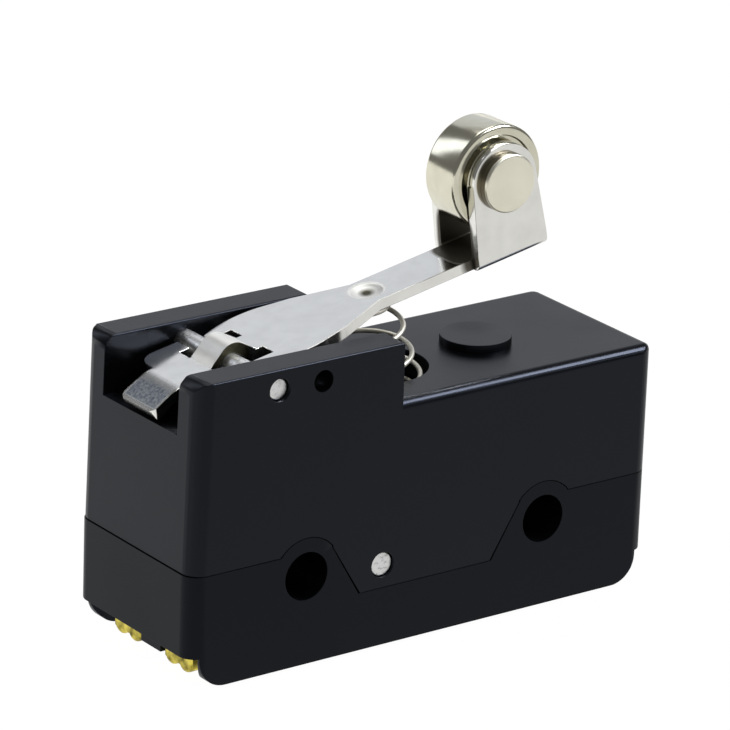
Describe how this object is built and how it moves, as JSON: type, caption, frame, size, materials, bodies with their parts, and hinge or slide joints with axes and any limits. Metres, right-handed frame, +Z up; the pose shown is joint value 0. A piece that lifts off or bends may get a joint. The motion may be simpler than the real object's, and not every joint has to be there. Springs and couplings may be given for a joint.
{
  "type": "hinge roller lever snap-action switch",
  "caption": "Snap-action basic switch: black moulded body with side mounting holes, a folded metal hinge lever, its return spring and a metal roller in a clevis.",
  "frame": {"origin": "middle of the body's underside", "axes": "+X along the body towards the roller, -Y the front face, +Z up, metres"},
  "size_m": [0.0492, 0.0174, 0.0427],
  "materials": {
    "base_plastic": "fine moulded satin, near black",
    "case_plastic": "fine moulded satin, near black",
    "plunger_plastic": "smooth moulded",
    "lever_steel": "plated sheet steel, satin",
    "roller_nickel": "turned and nickel plated, bright",
    "axle_nickel": "nickel plated, satin",
    "pin_steel": "ground steel",
    "spring_steel": "drawn wire",
    "screw_steel": "zinc plated",
    "terminal_brass": "bright rolled brass",
    "blade_bronze": "spring bronze",
    "contact_silver": "silver alloy"
  },
  "bodies": {
    "housing": {"base": "base_plastic", "case": "case_plastic", "case_rivet": "pin_steel", "hinge_pin": "pin_steel", "return_spring": "spring_steel", "blade_anchor": "terminal_brass", "normally_closed_contact": "contact_silver", "normally_open_contact": "contact_silver", "common_terminal": "terminal_brass", "normally_closed_terminal": "terminal_brass", "normally_open_terminal": "terminal_brass", "common_screw": "screw_steel", "normally_closed_screw": "screw_steel", "normally_open_screw": "screw_steel", "common_washer": "screw_steel", "normally_closed_washer": "screw_steel", "normally_open_washer": "screw_steel"},
    "lever": {"lever": "lever_steel", "roller_axle": "axle_nickel"},
    "roller": {"roller": "roller_nickel"},
    "plunger": {"plunger": "plunger_plastic"},
    "blade": {"contact_blade": "blade_bronze", "moving_contact": "contact_silver"}
  },
  "joints": [
    {"name": "lever_press", "type": "hinge", "parent": "housing", "child": "lever", "pos_m": [-0.016, 0, 0.02565], "axis": [0, 1, 0], "range_deg": [0, 14.5], "stiffness_Nm_per_rad": 0.06, "springref_deg": -20.05, "deforming": ["return_spring"]},
    {"name": "roller_spin", "type": "hinge", "parent": "lever", "child": "roller", "pos_m": [0.01115, 0, 0.03796], "axis": [0, 1, 0], "continuous": true},
    {"name": "plunger_travel", "type": "slide", "parent": "housing", "child": "plunger", "axis": [0, 0, -1], "range_m": [0, 0.0008]},
    {"name": "blade_snap", "type": "hinge", "parent": "housing", "child": "blade", "pos_m": [-0.018, 0, 0.014], "axis": [0, 1, 0], "range_deg": [0, 1.7]}
  ],
  "couplings": [
    {"joint": "plunger_travel", "follows": "lever_press", "m_per_rad": 0.0031604},
    {"joint": "blade_snap", "follows": "lever_press", "ratio": 0.11034}
  ]
}
